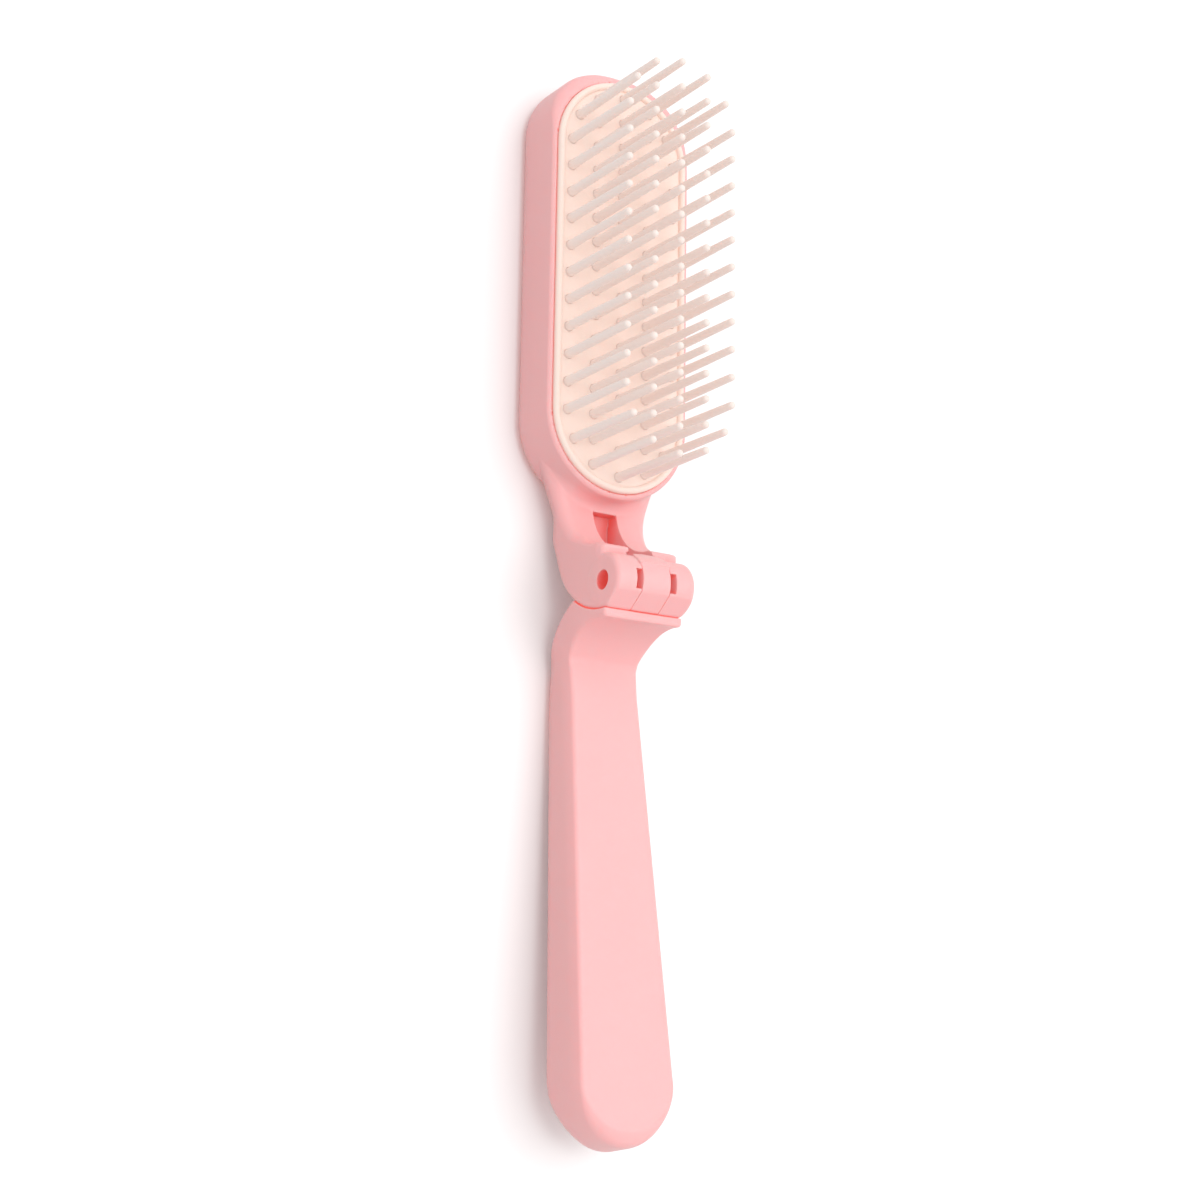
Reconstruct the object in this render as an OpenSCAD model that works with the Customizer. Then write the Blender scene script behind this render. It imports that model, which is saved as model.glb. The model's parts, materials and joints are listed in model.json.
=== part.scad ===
// Folding hairbrush: a head with a field of nylon pins, hinged to a tapered handle.
// It lies open on its back, with the pins up and the head towards +Y.
// Sections and outlines are drawn around the hinge axis, which then goes to its place.

/* [Head] */
// Width of the head
head_w = 29.2; // [25:0.1:34]
// Length of the head's straight sides
head_straight = 49.4; // [41:0.1:60]
// Thickness of the head
head_t = 11.8; // [10.4:0.1:14]
// Distance from the hinge axis to the centre of the head's near round end
head_offset = 31.5; // [29:0.1:38]
// Depth of the head's back below the hinge axis
head_drop = 19.5; // [18.6:0.1:23]
// Rounding of the head's back edge
head_back_r = 3; // [1:0.1:4]
// Wall of the head
head_wall = 2; // [1.6:0.1:2.6]
// Wall left around the pad at the head's rim
rim_wall = 0.8; // [0.6:0.1:1.2]
// Wall left beyond the pad at the head's far end
tip_wall = 1.3; // [0.8:0.1:2]
// Rounding of the head's two far corners, seen from above
head_corner_r = 11.5; // [9:0.5:13]
// Thickness of the ribs under the pad
rib_t = 1.2; // [0.8:0.1:2]
// Number of ribs across the head
rib_count = 4; // [2:1:6]

/* [Neck] */
// Thickness of the neck between the head and the hinge
neck_t = 7.6; // [6.5:0.1:9]
// Radius of the hollow curve where the head narrows to the neck
neck_blend_r = 44; // [25:1:50]
// Radius of the hollow curve where the neck's front turns up to the hinge
neck_hollow_r = 10; // [6:0.5:10]
// Width of the slot in the neck
slot_w = 4.8; // [3:0.1:5.6]
// Distance from the hinge axis to the slot's far end
slot_reach = 15.1; // [12:0.1:16]

/* [Hinge] */
// Diameter of the hinge barrel
barrel_d = 9.5; // [8.5:0.1:11]
// Length of the hinge barrel
barrel_w = 15.9; // [13:0.1:19]
// Length of the handle's middle knuckle
knuckle_w = 5.4; // [4.5:0.1:6.8]
// Gap between the knuckles at each side
knuckle_gap = 0.2; // [0.2:0.05:0.5]
// Diameter of the hinge pin
hinge_pin_d = 3.2; // [2.5:0.1:4.2]
// Clearance around the hinge pin
hinge_pin_fit = 0.08; // [0.03:0.01:0.1]
// How deep the pin's ends lie inside the ears
pin_recess = 2.4; // [1:0.1:3]
// Width of the window cut beside each gap
window_w = 1.3; // [1:0.1:2]
// Rounding of the barrel's outer edges
barrel_edge_r = 0.6; // [0.2:0.1:1]
// Gap between the head's ears and the handle's hollow top
seat_gap = 0.4; // [0.3:0.05:0.6]
// Height of the lip and flange that meet when the brush is folded
stop_h = 1.6; // [0.8:0.05:2]

/* [Handle] */
// Length of the handle from the hinge axis
handle_len = 91; // [76:0.5:105]
// Width of the handle at its waist
waist_w = 14.2; // [12:0.1:15.5]
// Width of the handle at its round end
handle_end_w = 18.8; // [16:0.1:22]
// Taper angle between the handle's front and back
handle_taper = 2.75; // [1:0.05:3.5]
// Depth of the handle's front face behind the hinge axis
handle_drop = 12.7; // [12.5:0.1:14]
// Angle that the open handle leans forward
lean = 7.5; // [5:0.1:10]
// Radius of the neck's curved back
handle_neck_r = 19; // [15:0.5:22]
// Rounding of the handle's front edges
handle_front_r = 1.6; // [0.8:0.1:2.2]
// Rounding of the handle's back edges
handle_back_r = 3; // [1:0.1:3.5]
// Wall of the handle
handle_wall = 1.8; // [1.4:0.1:2.2]
// Thickness of the handle's back cover
cover_t = 1.5; // [1:0.1:2]
// Distance from the handle's side to the cover
cover_inset = 2.4; // [2:0.1:3]
// Width of the ledge that the cover lies on
cover_ledge = 0.9; // [0.6:0.1:1.2]
// Gap around the cover
cover_gap = 0.1; // [0.05:0.05:0.2]

/* [Pad and pins] */
// Thickness of the pad
pad_t = 3.2; // [2.6:0.1:4]
// Gap between the pad and the head's rim
pad_gap = 0.2; // [0.1:0.05:0.3]
// Radius of the pad's raised round rim
pad_bead_r = 0.65; // [0.4:0.05:0.9]
// Height of the pad's face above the head's rim
pad_rise = 0.2; // [0:0.1:0.6]
// Number of pins in each of the three inner columns
inner_pins = 16; // [8:1:18]
// Number of pins in each of the two outer columns
outer_pins = 13; // [7:1:15]
// Distance from the outer pin columns to the next ones
column_pitch = 5.4; // [4.6:0.1:6]
// Distance from the pad's edge to the outermost pins
pin_margin = 2.8; // [2.4:0.1:4]
// Length of a pin above the pad
pin_len = 18.9; // [12:0.1:19]
// Diameter of a pin at its foot
pin_foot_d = 1.7; // [1.2:0.1:2]
// Diameter of a pin near its tip
pin_tip_d = 1.3; // [0.9:0.1:1.5]
// Clearance around a pin in the pad
pin_fit = 0.06; // [0.03:0.01:0.1]
// Width of the strip that joins a column of pins
strip_w = 2.8; // [2.2:0.1:3.2]
// Thickness of a pin strip
strip_t = 1.3; // [0.8:0.1:1.6]

/* [Hidden] */
$fn = 64;
// A small extra that makes joined solids overlap and cuts run clear
extra = 0.1;
reach = 60;
// A small offset that keeps the grip's roundings from being tangent where they meet
trim = 0.04;
pink = [0.98, 0.76, 0.76];
deep_pink = [0.97, 0.70, 0.71];
cream = [0.97, 0.90, 0.87];
nylon = [0.93, 0.90, 0.87];

// Heights in the head, measured from the hinge axis
head_r = head_w / 2;
head_back = -head_drop;
rim_z = head_t - head_drop;
rim_bead_r = rim_wall / 2;
pocket_r = head_r - rim_wall;
pad_z = rim_z + pad_rise;
pad_back_z = pad_z - pad_t;
pad_r = pocket_r - pad_gap;
cavity_r = head_r - head_wall;
floor_z = head_back + head_wall;
neck_z = head_back + neck_t;
head_middle = head_offset + head_straight / 2;
head_reach = head_offset + head_straight + pocket_r + tip_wall;

// The ears' underside is an arc that runs into the longer arc of the neck's back
barrel_r = barrel_d / 2;
ear_rise = 3;
ear_r = head_drop - ear_rise;
ear_c = [ear_r - barrel_r, 0];
back_r = 30;
back_c = [ear_c.x + sqrt(pow(back_r - ear_r, 2) - pow(back_r - head_drop, 2)), back_r - head_drop];
back_turn = atan2(ear_c.y - back_c.y, ear_c.x - back_c.x);

// Where the neck's sides run into the head's round end
neck_half = barrel_w / 2;
blend_c = [neck_half + neck_blend_r,
           head_offset - sqrt(pow(head_r + neck_blend_r, 2) - pow(neck_half + neck_blend_r, 2))];
blend_turn = atan2(head_offset - blend_c.y, -blend_c.x);
neck_end_y = head_offset - 0.55 * head_r;

// The lip over the barrel and the flange under it
lip_y = barrel_r + stop_h;
lip_z = -0.4;
flange_y = barrel_r + seat_gap;
flange_low_y = flange_y + stop_h;
flange_z = 0.8;
wall_y = lip_y + 0.55;
bore_d = hinge_pin_d + 2 * hinge_pin_fit;
ear_in = knuckle_w / 2 + knuckle_gap;
ear_w = neck_half - ear_in;
// The middle knuckle's heel, which nearly closes the gap to the lip
heel = [barrel_r + 0.75, 0.4];
swing_r = norm(heel) + 0.2;
web_low_y = flange_y + stop_h / 2;
web_front_z = lip_z - 0.2;
web_back_z = 0.3 - barrel_r;
heel_turn = 40;
// The flat along the barrel's lower front
flat_turn = 52;
flat_z = 0.905 * barrel_r;

// The handle's own frame lies along its front face: first the distance from the axis, then the height
front_z = -handle_drop;
waist_y = 16;
shoulder_y = 7;
crease_y = 10;
neck_end = 13;
end_r = handle_end_w / 2;
end_y = handle_len - end_r;
neck_front_bow = 2;
// From the handle's own frame to the side view around the axis, or back, as it is its own inverse
function placed(p) = [-p.x * cos(lean) + p.y * sin(lean), p.x * sin(lean) + p.y * cos(lean)];
function half_width(y) = waist_w / 2 + (end_r - waist_w / 2) * (y - waist_y) / (end_y - waist_y);

// The handle's top is hollow round the ears, and its neck's back is an arc down to the table
seat_r = ear_r + seat_gap;
seat_turn = 36;
notch = ear_c - seat_r * [cos(seat_turn), sin(seat_turn)];
neck_c_z = handle_neck_r - head_drop;
neck_c = [notch.x - sqrt(pow(handle_neck_r, 2) - pow(notch.y - neck_c_z, 2)), neck_c_z];
notch_turn = atan2(notch.y - neck_c.y, notch.x - neck_c.x);
back_lean = lean - handle_taper;
back_start = placed(neck_c - handle_neck_r * [sin(back_lean), cos(back_lean)]);
function back_height(y) = back_start.y - tan(handle_taper) * (y - back_start.x);
grip_start = back_start.x;
handle_reach = handle_back_r
               - placed([handle_len - handle_back_r, back_height(handle_len) + handle_back_r]).x;

// The handle's cover and the hollow that it closes
cover_start_y = 24;
hollow_ribs = 3;

// Pins: the outer columns stop short, and their last pins draw in along the pad's round end
pin_r = pad_r - pin_margin;
outer_turn = 30;
strip_z = pad_back_z + strip_t;

function arc(c, r, from, to, steps = 24) =
    [for (i = [0 : steps]) let (a = from + (to - from) * i / steps) c + r * [cos(a), sin(a)]];

// An arc from p to q that bows by b to the right of the way there
function bow(p, q, b) =
    let (l = norm(q - p) / 2, r = (l * l + b * b) / (2 * b), way = (q - p) / (2 * l),
         c = (p + q) / 2 + (b - r) * [way.y, -way.x], a = atan2(p.y - c.y, p.x - c.x),
         sweep = 2 * asin(l / r))
    arc(c, r, a, a + sweep);

// Shapes that several pieces use

// A part of the side view, drawn as Y and Z, and made w wide along X
module across(w) {
    rotate([90, 0, 90])
        linear_extrude(w, center = true)
            children();
}

// From the hinge axis to the part's own frame
module in_place() {
    translate([0, (handle_reach - head_reach) / 2, head_drop])
        children();
}

// From the handle's own frame to the hinge axis
module along_handle() {
    rotate([-lean, 0, 0])
        mirror([0, 1, 0])
            children();
}

module both_sides() {
    children();
    mirror([1, 0, 0])
        children();
}

module stadium(r) {
    translate([0, head_offset])
        circle(r);
    translate([0, head_offset + head_straight])
        circle(r);
    translate([-r, head_offset])
        square([2 * r, head_straight]);
}

module stadium_prism(r, low, high) {
    translate([0, 0, low])
        linear_extrude(high - low)
            stadium(r);
}

// A round bead of radius r that runs along a stadium of radius path_r
module stadium_bead(path_r, r, height) {
    for (far = [0, 1])
        translate([0, head_offset + far * head_straight, height])
            rotate([0, 0, far ? 0 : 180])
                rotate_extrude(angle = 180)
                    translate([path_r, 0])
                        circle(r, $fn = 32);
    for (side = [-1, 1])
        translate([side * path_r, head_offset, height])
            rotate([-90, 0, 0])
                cylinder(r = r, h = head_straight, $fn = 32);
}

// The head's cross-section out to r from its middle, with the back and rim edges rounded
module head_section(r) {
    translate([0, head_back + head_back_r]) {
        square([r, head_t - head_back_r - rim_bead_r]);
        square([r - rim_bead_r, head_t - head_back_r]);
    }
    translate([0, head_back])
        square([r - head_back_r, head_t]);
    translate([r - rim_bead_r, rim_z - rim_bead_r])
        circle(rim_bead_r, $fn = 32);
    translate([r - head_back_r, head_back + head_back_r])
        circle(head_back_r);
}

module head_turn(r) {
    rotate_extrude()
        intersection() {
            head_section(r);
            translate([0, head_back])
                square([r, head_t]);
        }
}

module head_body() {
    corner_y = head_reach - head_corner_r;
    translate([0, head_offset, 0])
        head_turn(head_r);
    translate([0, corner_y, 0]) {
        both_sides()
            translate([head_r - head_corner_r, 0, 0])
                head_turn(head_corner_r);
        rotate([90, 0, 0])
            linear_extrude(corner_y - head_offset)
                both_sides()
                    head_section(head_r);
        translate([head_corner_r - head_r, 0, 0])
            rotate([90, 0, 90])
                linear_extrude(2 * (head_r - head_corner_r))
                    head_section(head_corner_r);
    }
}

// The side view of the neck and ears, without the barrel
module neck_side() {
    polygon(concat(
        [[lip_y, lip_z]],
        arc([wall_y + neck_hollow_r, neck_z + neck_hollow_r], neck_hollow_r, 180, 270, 12),
        [[neck_end_y, neck_z], [neck_end_y, head_back]],
        arc(back_c, back_r, -90, back_turn),
        arc(ear_c, ear_r, back_turn, -180),
        [[0, lip_z]]));
}

module neck_plan() {
    both_sides()
        polygon(concat(
            [[0, -reach], [neck_half, -reach]],
            arc(blend_c, neck_blend_r, 180, blend_turn),
            [[0, head_offset]]));
}

// A length of the hinge barrel from x = 0, with its far edge rounded by r
module barrel(w, r = 0) {
    rotate([0, 90, 0])
        rotate_extrude() {
            square([barrel_r, w - r]);
            if (r > 0) {
                square([barrel_r - r, w]);
                translate([barrel_r - r, w - r])
                    circle(r, $fn = 32);
            }
        }
}

// Everything in front of the flat along the barrel's lower front
module flat_cut() {
    rotate([flat_turn, 0, 0])
        translate([-reach, -2 * barrel_r, flat_z])
            cube([2 * reach, 4 * barrel_r, barrel_r]);
}

module ears() {
    difference() {
        both_sides()
            translate([ear_in, 0, 0])
                barrel(ear_w, barrel_edge_r);
        flat_cut();
    }
}

// The room that the handle's middle knuckle needs between the ears
module knuckle_room() {
    across(2 * ear_in) {
        circle(swing_r);
        translate([-reach, -swing_r])
            square([reach, 2 * reach]);
    }
}

module neck_slot() {
    across(slot_w)
        intersection() {
            translate(ear_c)
                circle(ear_r - head_wall);
            translate([0, -reach])
                square([slot_reach, reach]);
        }
}

module hinge_bore() {
    rotate([0, 90, 0])
        cylinder(d = bore_d, h = 2 * reach, center = true);
}

// Windows beside both gaps, as wide as the bore that they open to the front
module windows(inner) {
    both_sides()
        translate([inner, -bore_d / 2, 0])
            cube([window_w + extra, bore_d, 2 * barrel_r]);
}

// One rib along the head's hollow, and ribs that share its length evenly
module head_ribs() {
    cell = (head_straight + 2 * cavity_r) / (rib_count + 1);
    intersection() {
        stadium_prism(cavity_r + extra, floor_z - extra, pad_back_z);
        translate([0, head_offset - cavity_r, head_back + extra]) {
            for (i = [1 : rib_count])
                translate([-head_r, i * cell - rib_t / 2, 0])
                    cube([head_w, rib_t, head_t]);
            translate([-rib_t / 2, -head_wall, 0])
                cube([rib_t, head_straight + head_w, head_t]);
        }
    }
}

module head_shell() {
    color(pink)
        in_place() {
            difference() {
                union() {
                    head_body();
                    intersection() {
                        across(2 * head_w)
                            neck_side();
                        translate([0, 0, -reach])
                            linear_extrude(2 * reach)
                                neck_plan();
                    }
                    ears();
                }
                stadium_prism(pocket_r, pad_back_z, reach);
                stadium_prism(cavity_r, floor_z, reach);
                knuckle_room();
                neck_slot();
                hinge_bore();
                windows(ear_in - extra);
            }
            head_ribs();
        }
}

// Where column c has its pins; columns run from -2 to 2
function pin_count(c) = abs(c) == 2 ? outer_pins : inner_pins;
function column_x(c) = sign(c) * (pin_r - (2 - abs(c)) * column_pitch);
function end_pin(c) = abs(c) == 2 ? pin_r * [sign(c) * cos(outer_turn), sin(outer_turn)]
                                  : [column_x(c), sqrt(pow(pin_r, 2) - pow(column_x(c), 2))];
function pin_at(c, i) =
    let (last = pin_count(c) - 1, spread = head_straight / 2 + end_pin(c).y)
    [i == 0 || i == last ? end_pin(c).x : column_x(c), head_middle + spread * (2 * i / last - 1)];

module pins(c, grow = 0) {
    for (i = [0 : pin_count(c) - 1])
        translate(concat(pin_at(c, i), [strip_z - extra]))
            pin(grow);
}

// A pin with a round tip, or the hole for one
module pin(grow) {
    foot_h = pad_z - strip_z + extra;
    cylinder(d = pin_foot_d + 2 * grow, h = foot_h, $fn = 24);
    translate([0, 0, foot_h])
        rotate_extrude($fn = 24)
            intersection() {
                union() {
                    polygon([[0, -extra], [pin_foot_d / 2, -extra], [pin_foot_d / 2, 0],
                             [pin_tip_d / 2, pin_len - pin_tip_d / 2], [0, pin_len - pin_tip_d / 2]]);
                    translate([0, pin_len - pin_tip_d / 2])
                        circle(d = pin_tip_d, $fn = 24);
                }
                translate([0, -extra])
                    square([pin_foot_d, pin_len + 2 * extra]);
            }
}

module pin_strip(c, grow = 0, deeper = 0) {
    last = pin_count(c) - 1;
    half = strip_w / 2 + grow;
    ends = [pin_at(c, 0) - [0, half], pin_at(c, last) + [0, half]];
    middle = [for (i = [1 : last - 1]) pin_at(c, i)];
    path = concat([ends[0]], middle, [ends[1]]);
    translate([0, 0, pad_back_z - deeper])
        linear_extrude(strip_t + deeper + grow)
            polygon(concat([for (p = path) p - [half, 0]],
                           [for (i = [len(path) - 1 : -1 : 0]) path[i] + [half, 0]]));
}

module pin_strip_node(c) {
    color(nylon)
        in_place() {
            pin_strip(c);
            pins(c);
        }
}

module pin_strip_far_left() {
    pin_strip_node(-2);
}

module pin_strip_left() {
    pin_strip_node(-1);
}

module pin_strip_middle() {
    pin_strip_node(0);
}

module pin_strip_right() {
    pin_strip_node(1);
}

module pin_strip_far_right() {
    pin_strip_node(2);
}

module pad() {
    color(cream)
        in_place()
            difference() {
                union() {
                    stadium_prism(pad_r, pad_back_z, pad_z);
                    stadium_bead(pad_r - pad_bead_r, pad_bead_r, pad_z);
                }
                for (c = [-2 : 2]) {
                    pin_strip(c, pin_fit, extra);
                    for (i = [0 : pin_count(c) - 1])
                        translate(concat(pin_at(c, i), [strip_z - extra]))
                            cylinder(d = pin_foot_d + 2 * pin_fit, h = pad_t, $fn = 24);
                }
            }
}

module hinge_pin() {
    color(deep_pink)
        in_place()
            rotate([0, 90, 0])
                cylinder(d = hinge_pin_d, h = barrel_w - 2 * pin_recess, center = true);
}

// The side view of the handle's neck and flange
module handle_neck_side() {
    polygon(concat(
        [[-flange_y, flange_z]],
        arc(ear_c, seat_r, 180, 180 + seat_turn),
        arc(neck_c, handle_neck_r, notch_turn, -90 - back_lean),
        [placed([back_start.x + extra, back_height(back_start.x + extra)]),
         placed([back_start.x + extra, front_z])],
        bow(placed([crease_y, front_z]), [-flange_low_y, flange_z], neck_front_bow)));
}

module handle_neck() {
    intersection() {
        across(2 * handle_end_w)
            handle_neck_side();
        along_handle()
            translate([0, 0, -reach])
                linear_extrude(2 * reach)
                    polygon([[-neck_half, -reach], [neck_half, -reach], [neck_half, shoulder_y],
                             [half_width(neck_end), neck_end], [half_width(handle_len), handle_len],
                             [-half_width(handle_len), handle_len], [-half_width(neck_end), neck_end],
                             [-neck_half, shoulder_y]]);
    }
}

// The handle's outline in its own frame, drawn in by inset
module handle_plan(inset, start) {
    polygon([[-half_width(start) + inset, start], [half_width(start) - inset, start],
             [end_r - inset, end_y], [-end_r + inset, end_y]]);
    translate([0, end_y])
        circle(end_r - inset);
}

// Half of the round end's section, in the handle's own frame
module end_section() {
    low = back_height(handle_len);
    translate([0, low])
        square([end_r - handle_back_r, front_z - handle_front_r - low]);
    translate([0, low + handle_back_r])
        square([end_r, front_z - handle_front_r - handle_back_r - low]);
    translate([0, low + handle_back_r])
        square([end_r - handle_front_r, front_z - handle_back_r - low]);
    translate([end_r - handle_front_r, front_z - handle_front_r])
        circle(handle_front_r);
    translate([end_r - handle_back_r, low + handle_back_r])
        circle(handle_back_r);
}

// The grip, with its four long edges and its round end's edges rounded, cut along the back face
module grip() {
    intersection() {
        union() {
            hull()
                for (y = [grip_start, end_y - extra / 2], side = [-1, 1]) {
                    translate([side * (half_width(y) - handle_front_r - trim), y, front_z - handle_front_r])
                        rotate([-90, 0, 0])
                            cylinder(r = handle_front_r, h = extra, $fn = 32);
                    translate([side * (half_width(y) - handle_back_r - trim), y,
                               back_height(y) + handle_back_r - trim])
                        rotate([-90, 0, 0])
                            cylinder(r = handle_back_r, h = extra, $fn = 32);
                }
            translate([0, end_y, 0])
                rotate_extrude()
                    end_section();
        }
        back_layer(0, reach);
    }
}

module middle_knuckle() {
    difference() {
        union() {
            translate([-knuckle_w / 2, 0, 0])
                barrel(knuckle_w);
            across(knuckle_w) {
                translate([-web_low_y, web_back_z])
                    square([web_low_y, web_front_z - web_back_z]);
                polygon([[0, -heel.y], [heel.x, -heel.y], heel,
                         0.9 * barrel_r * [cos(heel_turn), sin(heel_turn)], [0, heel.y]]);
            }
        }
        flat_cut();
    }
}

// A layer of the handle along its back face, from low to high above it
module back_layer(low, high) {
    across(2 * handle_end_w)
        polygon([for (p = [[0, low], [handle_len + 1, low], [handle_len + 1, high], [0, high]])
                 [p.x, back_height(p.x) + p.y]]);
}

module cover_outline(inset) {
    handle_plan(inset, cover_start_y);
    translate([0, cover_start_y])
        circle(half_width(cover_start_y) - inset);
}

module cover_layer(inset, low, high) {
    intersection() {
        back_layer(low, high);
        translate([0, 0, -reach])
            linear_extrude(2 * reach)
                cover_outline(inset);
    }
}

// The hollow between the front wall and the cover, crossed by ribs
module handle_hollow() {
    cell = (end_y - cover_start_y) / (hollow_ribs + 1);
    difference() {
        intersection() {
            cover_layer(cover_inset + cover_ledge, cover_t - extra, reach);
            translate([-reach, 0, front_z - handle_wall - reach])
                cube([2 * reach, handle_len, reach]);
        }
        for (i = [1 : hollow_ribs])
            translate([-reach, cover_start_y + i * cell - rib_t / 2, -reach])
                cube([2 * reach, rib_t, reach]);
    }
}

module handle_shell() {
    color(pink)
        in_place()
            difference() {
                union() {
                    along_handle()
                        grip();
                    handle_neck();
                    middle_knuckle();
                }
                along_handle() {
                    cover_layer(cover_inset, -extra, cover_t);
                    handle_hollow();
                }
                hinge_bore();
                rotate([-90, 0, 0])
                    windows(knuckle_w / 2 - window_w);
            }
}

module handle_back_cover() {
    color(pink)
        in_place()
            along_handle()
                cover_layer(cover_inset + cover_gap, 0, cover_t);
}

head_shell();
pad();
pin_strip_far_left();
pin_strip_left();
pin_strip_middle();
pin_strip_right();
pin_strip_far_right();
hinge_pin();
handle_shell();
handle_back_cover();
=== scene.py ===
import json
import math

import bpy
import numpy as np
from mathutils import Euler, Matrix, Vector


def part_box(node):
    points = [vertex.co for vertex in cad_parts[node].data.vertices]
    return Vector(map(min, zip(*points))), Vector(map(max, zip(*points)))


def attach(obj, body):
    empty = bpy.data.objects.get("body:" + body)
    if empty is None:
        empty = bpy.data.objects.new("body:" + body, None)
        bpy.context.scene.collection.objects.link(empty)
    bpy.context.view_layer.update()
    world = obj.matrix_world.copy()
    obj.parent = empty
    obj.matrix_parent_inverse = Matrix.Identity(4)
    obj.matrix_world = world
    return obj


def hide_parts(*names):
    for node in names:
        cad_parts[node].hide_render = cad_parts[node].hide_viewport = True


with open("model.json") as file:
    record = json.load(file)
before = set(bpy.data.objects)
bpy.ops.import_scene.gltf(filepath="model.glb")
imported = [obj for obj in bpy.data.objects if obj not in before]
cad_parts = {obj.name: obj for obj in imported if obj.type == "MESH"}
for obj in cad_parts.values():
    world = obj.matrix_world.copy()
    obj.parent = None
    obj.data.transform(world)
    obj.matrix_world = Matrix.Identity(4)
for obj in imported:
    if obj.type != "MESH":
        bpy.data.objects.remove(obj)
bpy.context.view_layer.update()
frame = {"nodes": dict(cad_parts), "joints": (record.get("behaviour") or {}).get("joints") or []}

hinge = Vector(frame["joints"][0]["pos_m"])
mm = 0.001


def nodeBox(name):
    # lowest and highest corner of a CAD node, in mm from the hinge axis
    return [(Vector(corner) - hinge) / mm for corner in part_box(name)]


headLow, headHigh = nodeBox("head_shell")
padLow, padHigh = nodeBox("pad")
gripLow, gripHigh = nodeBox("handle_shell")
coverTop = nodeBox("handle_back_cover")[1].z

headRadius = headHigh.x
tableZ = headLow.z
barrelRadius = headHigh.z
padRadius = padHigh.x
nearEnd = padLow.y + padRadius
farEnd = padHigh.y - padRadius


# Distance fields. Each takes arrays in mm and is negative inside the plastic.

farInside = -1e3         # stands for a face that cuts nothing
tiny = 1e-3              # keeps a division clear of zero


def cutEdge(a, b, r):
    # what lies in both a and b, with the edge between them rounded by r
    return np.minimum(np.maximum(a, b), -r) + np.hypot(np.maximum(a + r, 0), np.maximum(b + r, 0))


def fillCorner(a, b, r):
    # a and b together, with the corner between them filled by a radius r
    return np.maximum(np.minimum(a, b), r) - np.hypot(np.maximum(r - a, 0), np.maximum(r - b, 0))


def ramp(t, t0, t1):
    # a smooth rise from 0 at t0 to 1 at t1
    s = np.clip((t - t0) / (t1 - t0), 0, 1)
    return s * s * (3 - 2 * s)


def stadium(x, y, r):
    return np.hypot(x, y - np.clip(y, nearEnd, farEnd)) - r


# Meshing

netting = dict(pulls=4, slack=0.25, leastSlope=0.05, leastNormal=1e-6, probe=0.02)
cellCorners = [(a, b, c) for a in (0, 1) for b in (0, 1) for c in (0, 1)]


def finishMesh(name, points, faces, normals):
    mesh = bpy.data.meshes.new(name)
    mesh.from_pydata((points * mm + np.array(hinge)).tolist(), [], faces.tolist())
    mesh.update()
    mesh.polygons.foreach_set("use_smooth", np.ones(len(mesh.polygons), bool))
    mesh.normals_split_custom_set_from_vertices(normals.tolist())
    piece = bpy.data.objects.new(name, mesh)
    bpy.context.scene.collection.objects.link(piece)
    return piece


def slopeOf(field, p):
    slope = np.empty_like(p)
    for axis in range(3):
        step = np.zeros(3)
        step[axis] = netting["probe"]
        slope[:, axis] = (field(*(p + step).T) - field(*(p - step).T)) / (2 * netting["probe"])
    return slope


def gridPoints(field, axes, grid, cells):
    # the mean of the places where the surface crosses each cell's edges, then pulled onto the surface
    total = np.zeros((len(cells), 3))
    count = np.zeros(len(cells))
    for a in cellCorners:
        for axis in range(3):
            if a[axis]:
                continue
            b = tuple(v + (i == axis) for i, v in enumerate(a))
            ia, ib = cells + a, cells + b
            da, db = grid[tuple(ia.T)], grid[tuple(ib.T)]
            crossed = (da < 0) != (db < 0)
            t = np.where(crossed, da / np.where(crossed, da - db, 1), 0)
            pa = np.stack([axes[i][ia[:, i]] for i in range(3)], 1)
            pb = np.stack([axes[i][ib[:, i]] for i in range(3)], 1)
            total += np.where(crossed[:, None], pa + (pb - pa) * t[:, None], 0)
            count += crossed
    points = total / count[:, None]
    lows = np.stack([axes[i][cells[:, i]] for i in range(3)], 1)
    highs = np.stack([axes[i][cells[:, i] + 1] for i in range(3)], 1)
    slack = netting["slack"] * (highs - lows)
    for _ in range(netting["pulls"]):
        slope = slopeOf(field, points)
        steep = np.maximum((slope ** 2).sum(1), netting["leastSlope"])
        points -= slope * (field(*points.T) / steep)[:, None]
        points = np.clip(points, lows - slack, highs + slack)
    return points


def gridFaces(inside, order):
    # one quad across each grid line that the surface crosses, facing out
    faces = []
    for axis in range(3):
        u, v = (axis + 1) % 3, (axis + 2) % 3
        low = [slice(1, -1)] * 3
        low[axis] = slice(0, -1)
        high = list(low)
        high[axis] = slice(1, None)
        a, b = inside[tuple(low)], inside[tuple(high)]
        for first, flip in ((a & ~b, False), (b & ~a, True)):
            at = np.argwhere(first) + np.array([axis != 0, axis != 1, axis != 2])
            ring = []
            for du, dv in ((1, 1), (0, 1), (0, 0), (1, 0)):
                cell = at.copy()
                cell[:, u] -= du
                cell[:, v] -= dv
                ring.append(order[tuple(cell.T)])
            quad = np.stack(ring, 1)
            faces.append(quad[:, ::-1] if flip else quad)
    return np.concatenate(faces)


def skinField(name, field, xs, ys, zs):
    # surface nets: one point in each grid cell that the surface crosses
    grid = field(*np.meshgrid(xs, ys, zs, indexing="ij"))
    inside = grid < 0
    size = [n - 1 for n in grid.shape]
    filled = sum(inside[a:a + size[0], b:b + size[1], c:c + size[2]].astype(np.int8)
                 for a, b, c in cellCorners)
    cells = np.argwhere((filled > 0) & (filled < len(cellCorners)))
    points = gridPoints(field, (xs, ys, zs), grid, cells)
    slope = slopeOf(field, points)
    length = np.maximum(np.linalg.norm(slope, axis=1), netting["leastNormal"])
    order = np.full(size, -1, np.int32)
    order[tuple(cells.T)] = np.arange(len(cells))
    return finishMesh(name, points, gridFaces(inside, order), slope / length[:, None])


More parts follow.
